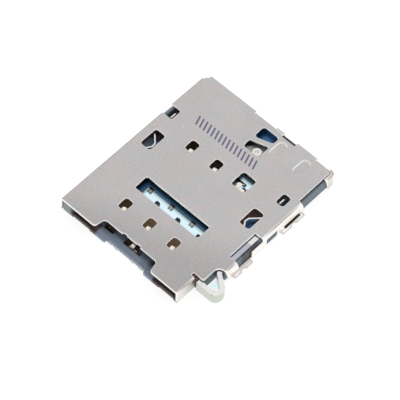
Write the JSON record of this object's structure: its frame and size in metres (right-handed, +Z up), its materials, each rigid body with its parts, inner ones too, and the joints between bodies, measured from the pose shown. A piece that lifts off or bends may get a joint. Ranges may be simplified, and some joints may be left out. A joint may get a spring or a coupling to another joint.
{
  "type": "sim card socket",
  "caption": "Low surface-mount socket for a nano-size SIM card in a slide-in tray: folded steel cover over a moulded base, contact springs, push rod and eject lever.",
  "frame": {"origin": "on the board face, under the middle of the contact field across the socket; the two contact rows lie 2.56 mm behind it and 4.92 mm in front of it", "axes": "+Z up from the board, +Y the way the tray goes in, +X to the right, the side of the push rod"},
  "size_m": [0.0149, 0.0167, 0.0014],
  "materials": {
    "cover_steel": "satin rolled sheet",
    "housing_plastic": "matte moulded",
    "gold_plating": "bright plated",
    "bright_steel": "bright rolled strip"
  },
  "bodies": {
    "socket": {"cover_shell": "cover_steel", "insulator_housing": "housing_plastic", "contact_c1": "gold_plating", "contact_c2": "gold_plating", "contact_c3": "gold_plating", "contact_c5": "gold_plating", "contact_c6": "gold_plating", "contact_c7": "gold_plating", "detect_spring": "gold_plating", "detect_terminal": "gold_plating", "lock_spring_left": "bright_steel", "lock_spring_right": "bright_steel", "lever_rivet": "bright_steel"},
    "rod": {"push_rod": "bright_steel"},
    "lever": {"eject_lever": "bright_steel"}
  },
  "joints": [
    {"name": "rod_slide", "type": "slide", "parent": "socket", "child": "rod", "axis": [0, -1, 0], "range_m": [0, 0.0018]},
    {"name": "lever_pivot", "type": "hinge", "parent": "socket", "child": "lever", "pos_m": [0.00128, 0.00585, 0.00076], "axis": [0, 0, -1], "range_deg": [0, 19.6]}
  ],
  "couplings": [
    {"joint": "lever_pivot", "follows": "rod_slide", "rad_per_m": 190}
  ]
}
